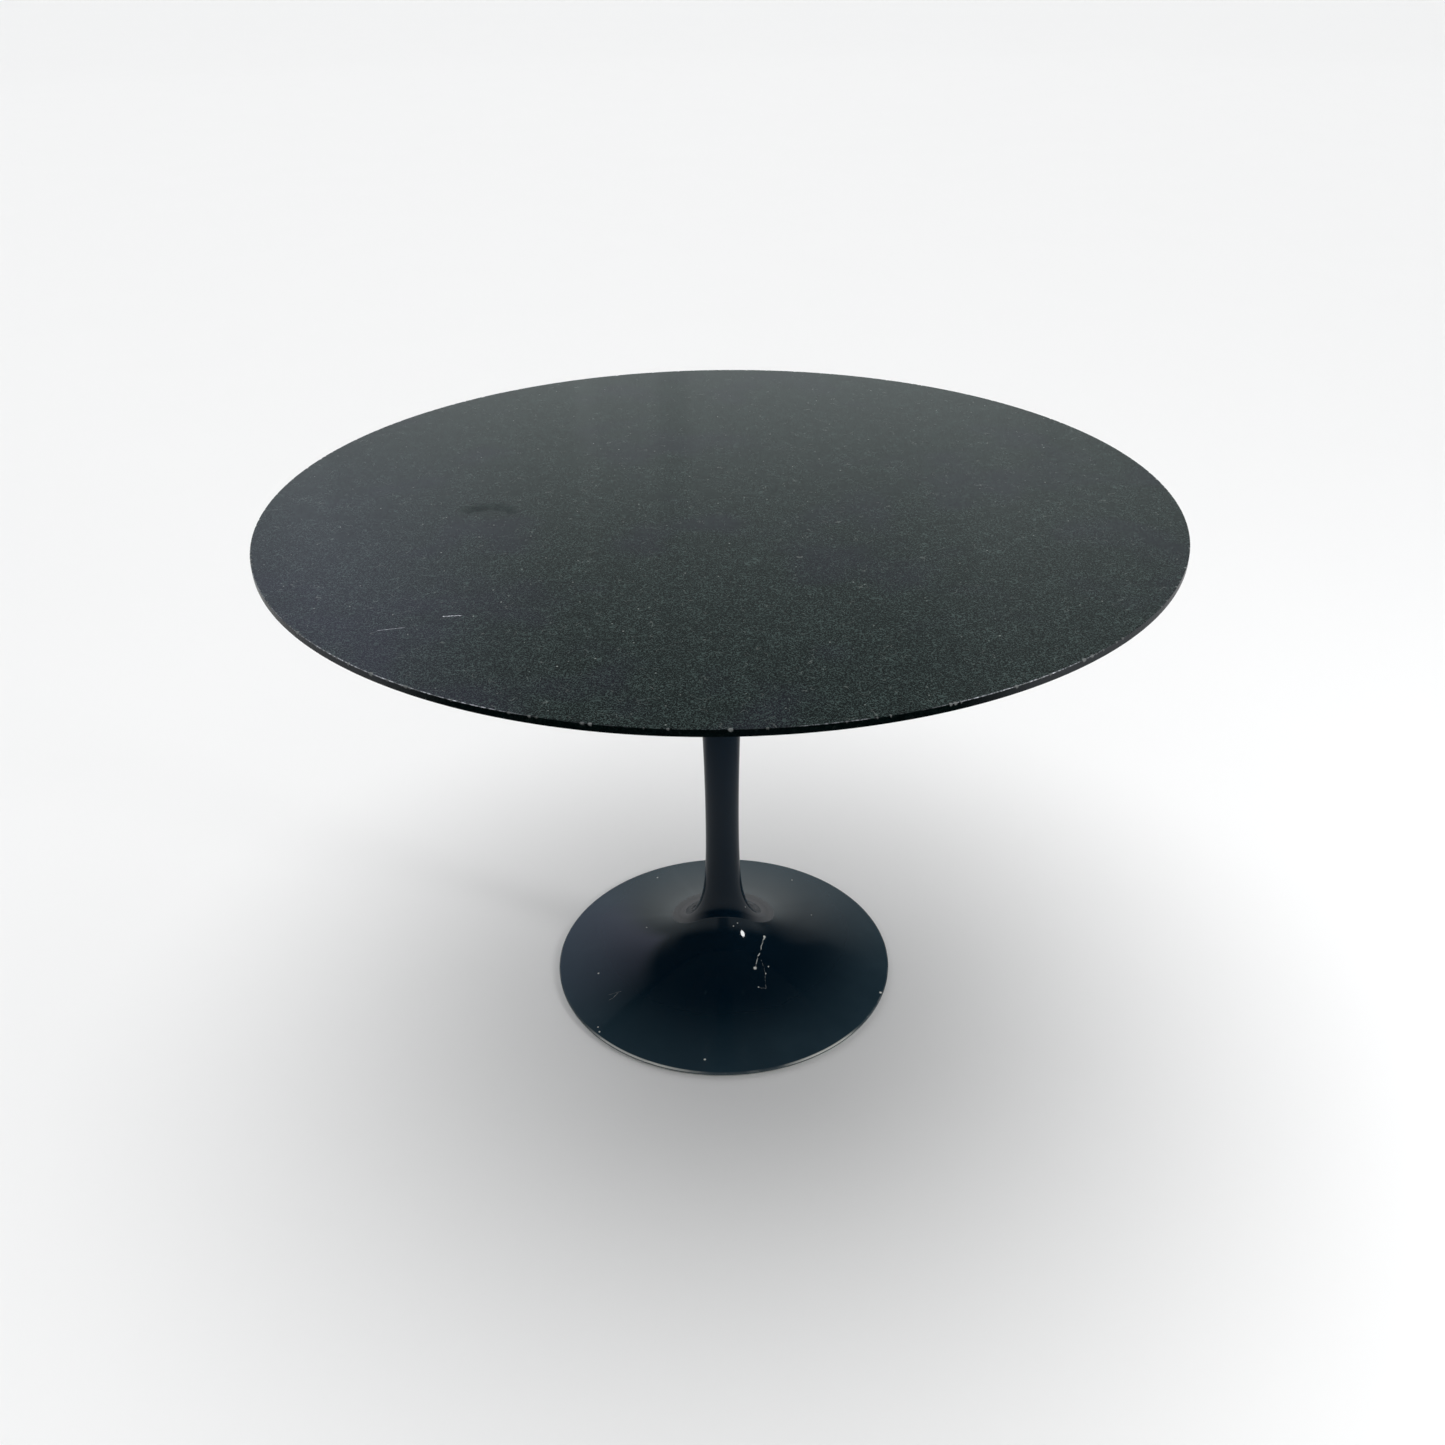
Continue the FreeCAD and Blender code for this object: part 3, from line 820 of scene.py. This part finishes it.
class HardwareSettings(bpy.types.PropertyGroup):
    """The glide ring and what holds the top to the pedestal."""

    glide: bpy.props.FloatVectorProperty(
        name="Glide ring", description="Colour of the glide ring", default=(0.40, 0.42, 0.40), subtype="COLOR"
    )
    glide_width: bpy.props.FloatProperty(
        name="Glide width", description="Width of the glide ring", default=13 * MM, unit="LENGTH"
    )
    zinc: bpy.props.FloatVectorProperty(
        name="Zinc", description="Colour of the plated fasteners", default=(0.56, 0.57, 0.56), subtype="COLOR"
    )
    black_steel: bpy.props.FloatVectorProperty(
        name="Black steel",
        description="Colour of the powder-coated steel",
        default=(0.018, 0.018, 0.019),
        subtype="COLOR",
    )
    brass: bpy.props.FloatVectorProperty(
        name="Brass", description="Colour of the inserts", default=(0.58, 0.42, 0.17), subtype="COLOR"
    )
    ply: bpy.props.FloatVectorProperty(
        name="Plywood", description="Colour of the plywood", default=(0.026, 0.021, 0.018), subtype="COLOR"
    )
    adhesive: bpy.props.FloatVectorProperty(
        name="Adhesive", description="Colour of the adhesive", default=(0.30, 0.29, 0.27), subtype="COLOR"
    )
    fibre: bpy.props.FloatVectorProperty(
        name="Gasket", description="Colour of the gasket", default=(0.012, 0.012, 0.012), subtype="COLOR"
    )
    thread_pitch: bpy.props.FloatProperty(
        name="Thread pitch", description="Rise of the rod's thread in one turn", default=2 * MM, unit="LENGTH"
    )
    thread_depth: bpy.props.FloatProperty(
        name="Thread depth", description="Depth of the rod's thread", default=1.2 * MM, unit="LENGTH"
    )


# second colours of the finishes
FLOOR_DIRT = (0.09, 0.085, 0.075)
STRAW_TINT = (0.55, 0.50, 0.38)
DULL_ZINC = (0.25, 0.25, 0.25)
RUBBED_COAT = (0.09, 0.09, 0.09)
TARNISH = (0.22, 0.12, 0.05)
BARE_GRAIN = (0.070, 0.050, 0.036)
BUBBLES = (0.16, 0.155, 0.145)
PALE_FIBRE = (0.045, 0.043, 0.04)


def translucent_plastic(nodes, hardware):
    """Pale glide plastic, scuffed and dirtied where it meets the floor."""
    place = nodes.coordinates()
    z = nodes.axes(place)[2]
    dirt = nodes.fade(nodes.noise(place, 60.0, 4.0), 0.35, 0.8)
    low = nodes.fade(z, 1.2 * MM, 0.1 * MM)
    base = nodes.mix(dirt * (0.25 + 0.45 * low), hardware.glide, FLOOR_DIRT)
    scuffs = nodes.noise(place, 700.0, 3.0)
    return {
        "Base Color": base,
        "Roughness": 0.28 + 0.3 * scuffs,
        "Subsurface Weight": 0.25,
        "Subsurface Radius": (0.004, 0.004, 0.004),
        "Normal": nodes.bump(scuffs, 0.05 * MM, 0.3),
    }


def zinc_plate(nodes, hardware):
    """Plated steel: crystalline bloom, a faint straw tint and dull wear."""
    place = nodes.coordinates()
    bloom = nodes.noise(place, 420.0, 3.0)
    tint = nodes.fade(nodes.noise(place, 45.0, 2.0), 0.4, 0.7)
    base = nodes.mix(tint * 0.4, hardware.zinc, STRAW_TINT)
    return {
        "Base Color": nodes.mix(nodes.fade(bloom, 0.55, 0.8) * 0.5, base, DULL_ZINC),
        "Metallic": 1.0,
        "Roughness": 0.26 + 0.28 * bloom,
        "Normal": nodes.bump(bloom, 0.03 * MM, 0.5),
    }


def powder_coat(nodes, hardware):
    """Black powder coat over steel: pebbled, with grey rubs."""
    place = nodes.coordinates()
    pebble = nodes.noise(place, 1400.0, 1.0)
    rub = nodes.fade(nodes.noise(nodes.stretched(place, (30, 90, 60), 0.5), 1.0, 4.0), 0.62, 0.8)
    return {
        "Base Color": nodes.mix(rub * 0.6, hardware.black_steel, RUBBED_COAT),
        "Roughness": 0.42 + 0.15 * pebble + 0.1 * rub,
        "Normal": nodes.bump(pebble, 0.06 * MM, 0.5),
    }


def turned_brass(nodes, hardware):
    """Brass with turning lines and brown tarnish."""
    place = nodes.coordinates()
    lines = nodes.noise(nodes.stretched(place, (40, 40, 2600)), 1.0, 1.0)
    tarnish = nodes.fade(nodes.noise(place, 160.0, 3.0), 0.45, 0.75)
    return {
        "Base Color": nodes.mix(tarnish * 0.6, hardware.brass, TARNISH),
        "Metallic": 1.0,
        "Roughness": 0.25 + 0.25 * tarnish + 0.1 * lines,
        "Normal": nodes.bump(lines, 0.04 * MM, 0.5),
    }


def stained_plywood(nodes, hardware):
    """Black-stained plywood: open grain on the face, and plies that alternate up the edge."""
    place = nodes.coordinates()
    ply_thickness = 2.0 * MM
    turn = nodes.axes(place)[2] * (math.pi / ply_thickness)
    ply = nodes.fade(turn.math("SINE", turn), -0.35, 0.35)
    along = nodes.noise(nodes.stretched(place, (7, 170, 300)), 1.0, 4.0, 0.6)
    crossed = nodes.noise(nodes.stretched(place, (170, 7, 300)), 1.0, 4.0, 0.6)
    grain = along * ply + crossed * (1 - ply)
    pores = nodes.fade(grain, 0.50, 0.72)
    return {
        "Base Color": nodes.mix(pores * 0.7 + ply * 0.2, hardware.ply, BARE_GRAIN),
        "Roughness": 0.55 + 0.25 * grain,
        "Normal": nodes.bump(grain, 0.12 * MM, 0.6),
    }


def cured_adhesive(nodes, hardware):
    """Grey cured adhesive with trapped bubbles."""
    place = nodes.coordinates()
    bubbles = nodes.fade(nodes.cells(place, 260.0, "Distance"), 0.25, 0.1)
    return {
        "Base Color": nodes.mix(bubbles, hardware.adhesive, BUBBLES),
        "Roughness": 0.35 + 0.2 * nodes.noise(place, 120.0, 3.0),
        "Normal": nodes.bump(bubbles, 0.1 * MM, 0.5),
    }


def pressed_fibre(nodes, hardware):
    """Black gasket fibre."""
    place = nodes.coordinates()
    fibres = nodes.noise(nodes.stretched(place, (500, 1600, 1600), 0.4), 1.0, 3.0)
    return {
        "Base Color": nodes.mix(nodes.fade(fibres, 0.5, 0.8), hardware.fibre, PALE_FIBRE),
        "Roughness": 0.7 + 0.2 * fibres,
        "Normal": nodes.bump(fibres, 0.05 * MM, 0.5),
    }


class PEDESTAL_TABLE_OT_glide_ring(bpy.types.Operator):
    """Makes the pale plastic ring that the table stands on"""

    bl_idname = "pedestal_table.glide_ring"
    bl_label = "Glide Ring"

    def execute(self, context):
        hardware = context.scene.pedestal_table.hardware
        outer, low, high = node_span("glide_ring")
        inner = outer - hardware.glide_width
        corners = ((inner, high), (outer, high), (outer, low), (inner, low))
        rounds = (0.2 * MM, 0.2 * MM, 0.8 * MM, 0.4 * MM)
        outline = np.vstack(
            [round_corner(corners[i - 1], corners[i], corners[(i + 1) % 4], rounds[i]) for i in range(4)]
        )
        ring = turned_surface("glide_plastic_ring", outline[:, 0], outline[:, 1], 256, closed=True)
        settle(ring, surface("pale glide plastic", translucent_plastic, hardware), "glide_ring")
        return {"FINISHED"}


class PEDESTAL_TABLE_OT_tie_rod(bpy.types.Operator):
    """Makes the tie rod with a real thread at both ends"""

    bl_idname = "pedestal_table.tie_rod"
    bl_label = "Tie Rod"

    def execute(self, context):
        # The groove's depth is a triangle wave of height / pitch - turn. It runs out where the thread
        # ends, and a taper breaks both ends of the rod.
        hardware = context.scene.pedestal_table.hardware
        radius, low, high = node_span("tie_rod")
        thread_length = 46 * MM
        around = 48
        samples_per_turn = 8
        rows = int(thread_length / hardware.thread_pitch * samples_per_turn)
        tip = 0.01 * MM
        upper = np.linspace(high - tip, high - thread_length, rows)
        lower = np.linspace(low + thread_length, low + tip, rows)
        height = np.concatenate([upper, lower])
        turn = np.arange(around)[:, None] / around
        phase = (height / hardware.thread_pitch - turn) % 1
        groove = 1 - np.abs(2 * phase - 1)
        end_distance = np.minimum(high - height, height - low)
        run_out = np.clip((thread_length - end_distance) / (2 * hardware.thread_pitch), 0, 1)
        taper = np.clip(1 - end_distance / hardware.thread_depth, 0, 1)
        bolt_radius = radius - hardware.thread_depth * np.maximum(groove * run_out, taper)
        rod = turned_surface("threaded_tie_rod", bolt_radius, height, around, poles=True)
        settle(rod, surface("plated rod", zinc_plate, hardware), "tie_rod")
        return {"FINISHED"}


PLATED = (
    "mounting_bolts",
    "mounting_washers",
    "mounting_spring_washers",
    "top_nut",
    "top_nut_washer",
    "clamp_nut",
    "clamp_washer",
    "clamp_spring_washer",
)

FINISHES = (
    ("plated fasteners", zinc_plate, PLATED),
    ("powder-coated steel", powder_coat, ("mounting_plate", "hub_spigot", "hub_weld", "clamp_plate")),
    ("turned brass", turned_brass, ("threaded_inserts",)),
    ("stained plywood", stained_plywood, ("backing_disc",)),
    ("cured adhesive", cured_adhesive, ("adhesive_bed",)),
    ("gasket fibre", pressed_fibre, ("mouth_gasket",)),
)


class PEDESTAL_TABLE_OT_hardware(bpy.types.Operator):
    """Finishes the plates, fasteners and backing that carry over from the design"""

    bl_idname = "pedestal_table.hardware"
    bl_label = "Hardware"

    def execute(self, context):
        hardware = context.scene.pedestal_table.hardware
        for name, build, nodes in FINISHES:
            material = surface(name, build, hardware)
            for node in nodes:
                refinish(node, material)
        return {"FINISHED"}


# ---------------------------------------------------------------------------------------------
# Studio
# ---------------------------------------------------------------------------------------------


class StageSettings(bpy.types.PropertyGroup):
    """The floor, the light and the camera."""

    floor: bpy.props.FloatVectorProperty(
        name="Floor", description="Colour of the floor", default=(0.86, 0.86, 0.86), subtype="COLOR"
    )
    # The card is seen only in reflections and is painted shade: grey under the table and behind it, dark to
    # the front.
    card_grey: bpy.props.FloatVectorProperty(
        name="Card", description="Colour of the reflected card", default=(0.46, 0.46, 0.46), subtype="COLOR"
    )
    card_dark: bpy.props.FloatVectorProperty(
        name="Dark card", description="Colour of its front", default=(0.008, 0.008, 0.008), subtype="COLOR"
    )
    surroundings: bpy.props.FloatVectorProperty(
        name="Surroundings", description="Colour past the floor", default=(0.86, 0.86, 0.86), subtype="COLOR"
    )
    key_strength: bpy.props.FloatProperty(
        name="Key strength", description="Brightness of the soft light overhead", default=1.9
    )
    fill_strength: bpy.props.FloatProperty(
        name="Fill strength", description="Brightness of each of the four low soft lights", default=0.55
    )
    key_angle: bpy.props.FloatProperty(
        name="Key softness",
        description="How wide each soft light looks",
        default=math.radians(60),
        subtype="ANGLE",
    )
    lamp_power: bpy.props.FloatProperty(
        name="Lamp power", description="Power of the small front lamp", default=14.0
    )
    camera_distance: bpy.props.FloatProperty(
        name="Camera distance", description="Level distance from the axis", default=1.5594, unit="LENGTH"
    )
    camera_height: bpy.props.FloatProperty(
        name="Camera height", description="Height above the floor", default=1.3125, unit="LENGTH"
    )
    camera_pitch: bpy.props.FloatProperty(
        name="Camera pitch",
        description="How far the camera looks down",
        default=math.radians(32.06),
        subtype="ANGLE",
    )
    camera_turn: bpy.props.FloatProperty(
        name="Camera turn",
        description="How far the camera looks right",
        default=math.radians(-0.311),
        subtype="ANGLE",
    )
    camera_roll: bpy.props.FloatProperty(
        name="Camera roll", description="Lean of the camera", default=math.radians(-0.791), subtype="ANGLE"
    )
    lens: bpy.props.FloatProperty(
        name="Lens", description="Focal length in millimetres on a 36 mm sensor", default=34.221
    )
    camera_shift: bpy.props.FloatVectorProperty(
        name="Camera shift",
        description="Shift of the picture centre, in picture widths",
        size=2,
        default=(0.005, 0.0294),
    )


def pale_floor(nodes, stage):
    """Matt pale floor with a trace of mottle."""
    place = nodes.coordinates()
    mottle = nodes.noise(place, 2.5, 4.0)
    return {
        "Base Color": nodes.mix(mottle * 0.15, stage.floor, (0.80, 0.80, 0.80)),
        "Roughness": 0.85 + 0.1 * mottle,
        "Specular IOR Level": 0.2,
    }


def painted_shade_card(nodes, stage):
    """Painted shade for reflections: mid grey under the table and behind it, near black towards the front."""
    place = nodes.coordinates()
    x, y = nodes.axes(place)[:2]
    behind = nodes.fade(abs(x.angle(y) + 5), 125.0, 30.0)
    grey = nodes.fade(nodes.length(place), 0.75, 0.36).most(behind * 0.88)
    shade = nodes.mix(grey, stage.card_dark, stage.card_grey)
    weave = nodes.noise(place, 40.0, 2.0)
    return {
        "Base Color": nodes.mix(weave * 0.1, shade, (0.02, 0.02, 0.02)),
        "Roughness": 1.0,
        "Specular IOR Level": 0.0,
    }


POSTS = (
    # brightness, azimuth, and outer and inner half width of the room's narrow posts, in degrees
    (0.04, -5.6, (0.6, 0.15)),
    (0.05, -17.6, (1.6, 0.4)),
    (-0.06, -1.9, (0.9, 0.3)),
    (-0.03, 14.0, (0.8, 0.2)),
)


def room_patch(nodes, azimuth, elevation, middle, sides, top):
    """A soft patch of the room: the azimuth of its middle, and where its sides and its top fade out."""
    return nodes.fade(abs(azimuth - middle), *sides) * nodes.fade(elevation, *top)


def soft_room(nodes, stage):
    """Light from the room by direction, with plain pale surroundings for the camera itself.

    A pale wall stands low behind, a window to the left, and it is dark towards the front. Azimuth is
    measured from +Y towards +X, and elevation from the horizon, both in degrees.
    """
    x, y, z = nodes.axes(nodes.add("ShaderNodeTexCoord", output="Generated"))
    azimuth = x.angle(y)
    elevation = z.math("ARCSINE", z) * DEGREES
    cabinet = nodes.fade(azimuth, 23.0, 26.5) * nodes.fade(elevation, 27.0, 32.0)
    haze = room_patch(nodes, azimuth, elevation, -10.0, (60.0, 20.0), (46.0, 20.0)) * (1.0 - cabinet * 0.8)
    wall = room_patch(nodes, azimuth, elevation, -1.0, (32.0, 8.0), (28.0, 12.0))
    wall = wall * nodes.fade(elevation, -12.0, 6.0)
    window = room_patch(nodes, azimuth, elevation, -26.0, (20.0, 8.0), (56.0, 40.0))
    window = window * nodes.fade(elevation, 14.0, 26.0)
    right = room_patch(nodes, azimuth, elevation, 17.0, (10.0, 3.0), (38.0, 26.0))
    right = right * nodes.fade(elevation, 16.0, 22.0)
    front_shade = 1.0 - 0.8 * nodes.fade(abs(azimuth), 148.0, 170.0)
    low_glow = nodes.fade(abs(azimuth), 32.0, 72.0) * nodes.fade(elevation, 26.0, 6.0) * front_shade
    glow = 0.02 + haze * 0.29 + wall * 0.34 + window * 0.27 + right * 0.08 + low_glow * 0.30
    for brightness, middle, sides in POSTS:
        glow = glow + brightness * room_patch(nodes, azimuth, elevation, middle, sides, (27.0, 17.0))
    tint = nodes.mix(window, (0.91, 0.99, 1.0), (0.92, 0.95, 1.20))
    seen = nodes.add("ShaderNodeLightPath", output="Is Camera Ray")
    light = nodes.mix(seen, nodes.scaled(tint, glow), stage.surroundings)
    background = nodes.add("ShaderNodeBackground", inputs={"Color": light, "Strength": 1.0})
    nodes.add("ShaderNodeOutputWorld", inputs={"Surface": background})


def add_light(name, kind, direction, distance, in_reflections, settings):
    """A light at a distance from the table's middle in a direction, aimed back at it."""
    light = bpy.data.lights.new(name, kind)
    for key, value in settings.items():
        setattr(light, key, value)
    lamp = bpy.data.objects.new(name, light)
    toward = Vector(direction).normalized()
    lamp.location = toward * distance
    lamp.rotation_euler = toward.to_track_quat("Z", "Y").to_euler()
    lamp.visible_glossy = in_reflections
    bpy.context.scene.collection.objects.link(lamp)


def add_reflection_card(stage):
    """A ring of card just over the floor, seen only in reflections: painted shade that keeps the gloss deep.

    It is a flat surface of revolution, one millimetre up, from just outside the rim to 14 m out.
    """
    radius = np.array([0.246, 0.4, 0.7, 1.2, 3.0, 14.0])
    card = turned_surface("reflection_card", radius, np.full(radius.size, MM), 96)
    card.data.materials.append(surface("painted shade card", painted_shade_card, stage))
    card.visible_camera = False
    card.visible_diffuse = False
    card.visible_shadow = False
    card.visible_transmission = False


def add_camera(stage):
    """The camera in front of the table: turned and tilted, then leaning, with its picture centre shifted."""
    camera = bpy.data.cameras.new("camera")
    camera.lens = stage.lens
    camera.sensor_width = 36.0
    camera.shift_x = stage.camera_shift[0]
    camera.shift_y = stage.camera_shift[1]
    camera.clip_end = 200.0
    view = bpy.data.objects.new("camera", camera)
    turn = Matrix.Rotation(-stage.camera_turn, 4, "Z")
    tilt = Matrix.Rotation(math.pi / 2 - stage.camera_pitch, 4, "X")
    lean = Matrix.Rotation(stage.camera_roll, 4, "Z")
    place = Matrix.Translation((0, -stage.camera_distance, stage.camera_height))
    view.matrix_world = place @ turn @ tilt @ lean
    bpy.context.scene.collection.objects.link(view)
    bpy.context.scene.camera = view


SUN_DISTANCE = 4.0

OVERHEAD = (-0.05, 0.15, 1.0)

FRONT_RIGHT = (0.808, -0.392, 0.439)

FILLS = (
    ("fill_left", (-1.0, 0.3, 0.75)),
    ("fill_right", (1.0, 0.3, 0.75)),
    ("fill_front", (0.0, -1.0, 0.75)),
    ("fill_back", (0.0, 1.0, 0.75)),
)


class PEDESTAL_TABLE_OT_stage(bpy.types.Operator):
    """Makes the pale floor, the soft light and the camera"""

    bl_idname = "pedestal_table.stage"
    bl_label = "Stage"

    def execute(self, context):
        stage = context.scene.pedestal_table.stage
        reach = 60.0
        points = np.array([(-reach, -reach, 0), (reach, -reach, 0), (reach, reach, 0), (-reach, reach, 0)])
        floor = mesh_object("pale_floor", points, np.array([[0, 1, 2, 3]]), np.empty((0, 3), int))
        floor.data.materials.append(surface("pale floor", pale_floor, stage))
        world = bpy.data.worlds.new("soft room")
        world.use_nodes = True
        soft_room(Nodes(world.node_tree), stage)
        context.scene.world = world
        soft = {"energy": stage.key_strength, "angle": stage.key_angle}
        add_light("overhead", "SUN", OVERHEAD, SUN_DISTANCE, False, soft)
        low = {"energy": stage.fill_strength, "angle": stage.key_angle}
        for name, direction in FILLS:
            add_light(name, "SUN", direction, SUN_DISTANCE, False, low)
        lamp = {"energy": stage.lamp_power, "size": 0.5, "shape": "DISK"}
        add_light("front_lamp", "AREA", FRONT_RIGHT, 2.8, True, lamp)
        add_reflection_card(stage)
        add_camera(stage)
        context.scene.view_settings.view_transform = "Standard"
        return {"FINISHED"}


# ---------------------------------------------------------------------------------------------
# Sidebar and registration
# ---------------------------------------------------------------------------------------------


class TableSettings(bpy.types.PropertyGroup):
    """All settings of the table."""

    stone: bpy.props.PointerProperty(type=StoneSettings)
    pedestal: bpy.props.PointerProperty(type=PedestalSettings)
    hardware: bpy.props.PointerProperty(type=HardwareSettings)
    stage: bpy.props.PointerProperty(type=StageSettings)


SECTIONS = (
    ("stage", (PEDESTAL_TABLE_OT_stage,)),
    ("stone", (PEDESTAL_TABLE_OT_stone_top,)),
    ("pedestal", (PEDESTAL_TABLE_OT_pedestal,)),
    ("hardware", (PEDESTAL_TABLE_OT_glide_ring, PEDESTAL_TABLE_OT_tie_rod, PEDESTAL_TABLE_OT_hardware)),
)


class PEDESTAL_TABLE_PT_sidebar(bpy.types.Panel):
    """The table's settings and operators in the 3D view's sidebar"""

    bl_idname = "PEDESTAL_TABLE_PT_sidebar"
    bl_label = "Pedestal Table"
    bl_space_type = "VIEW_3D"
    bl_region_type = "UI"
    bl_category = "Pedestal Table"

    def draw(self, context):
        table = context.scene.pedestal_table
        for section, operators in SECTIONS:
            box = self.layout.box()
            settings = getattr(table, section)
            for setting in settings.__annotations__:
                box.prop(settings, setting)
            for operator in operators:
                box.operator(operator.bl_idname)


CLASSES = (
    StoneSettings,
    PedestalSettings,
    HardwareSettings,
    StageSettings,
    TableSettings,
    *(operator for section, operators in SECTIONS for operator in operators),
    PEDESTAL_TABLE_PT_sidebar,
)


def register():
    for cls in CLASSES:
        bpy.utils.register_class(cls)
    bpy.types.Scene.pedestal_table = bpy.props.PointerProperty(type=TableSettings)


def unregister():
    del bpy.types.Scene.pedestal_table
    for cls in reversed(CLASSES):
        bpy.utils.unregister_class(cls)


def main():
    register()
    bpy.ops.pedestal_table.stage()
    bpy.ops.pedestal_table.stone_top()
    bpy.ops.pedestal_table.pedestal()
    bpy.ops.pedestal_table.glide_ring()
    bpy.ops.pedestal_table.tie_rod()
    bpy.ops.pedestal_table.hardware()


if __name__ == "__main__":
    main()
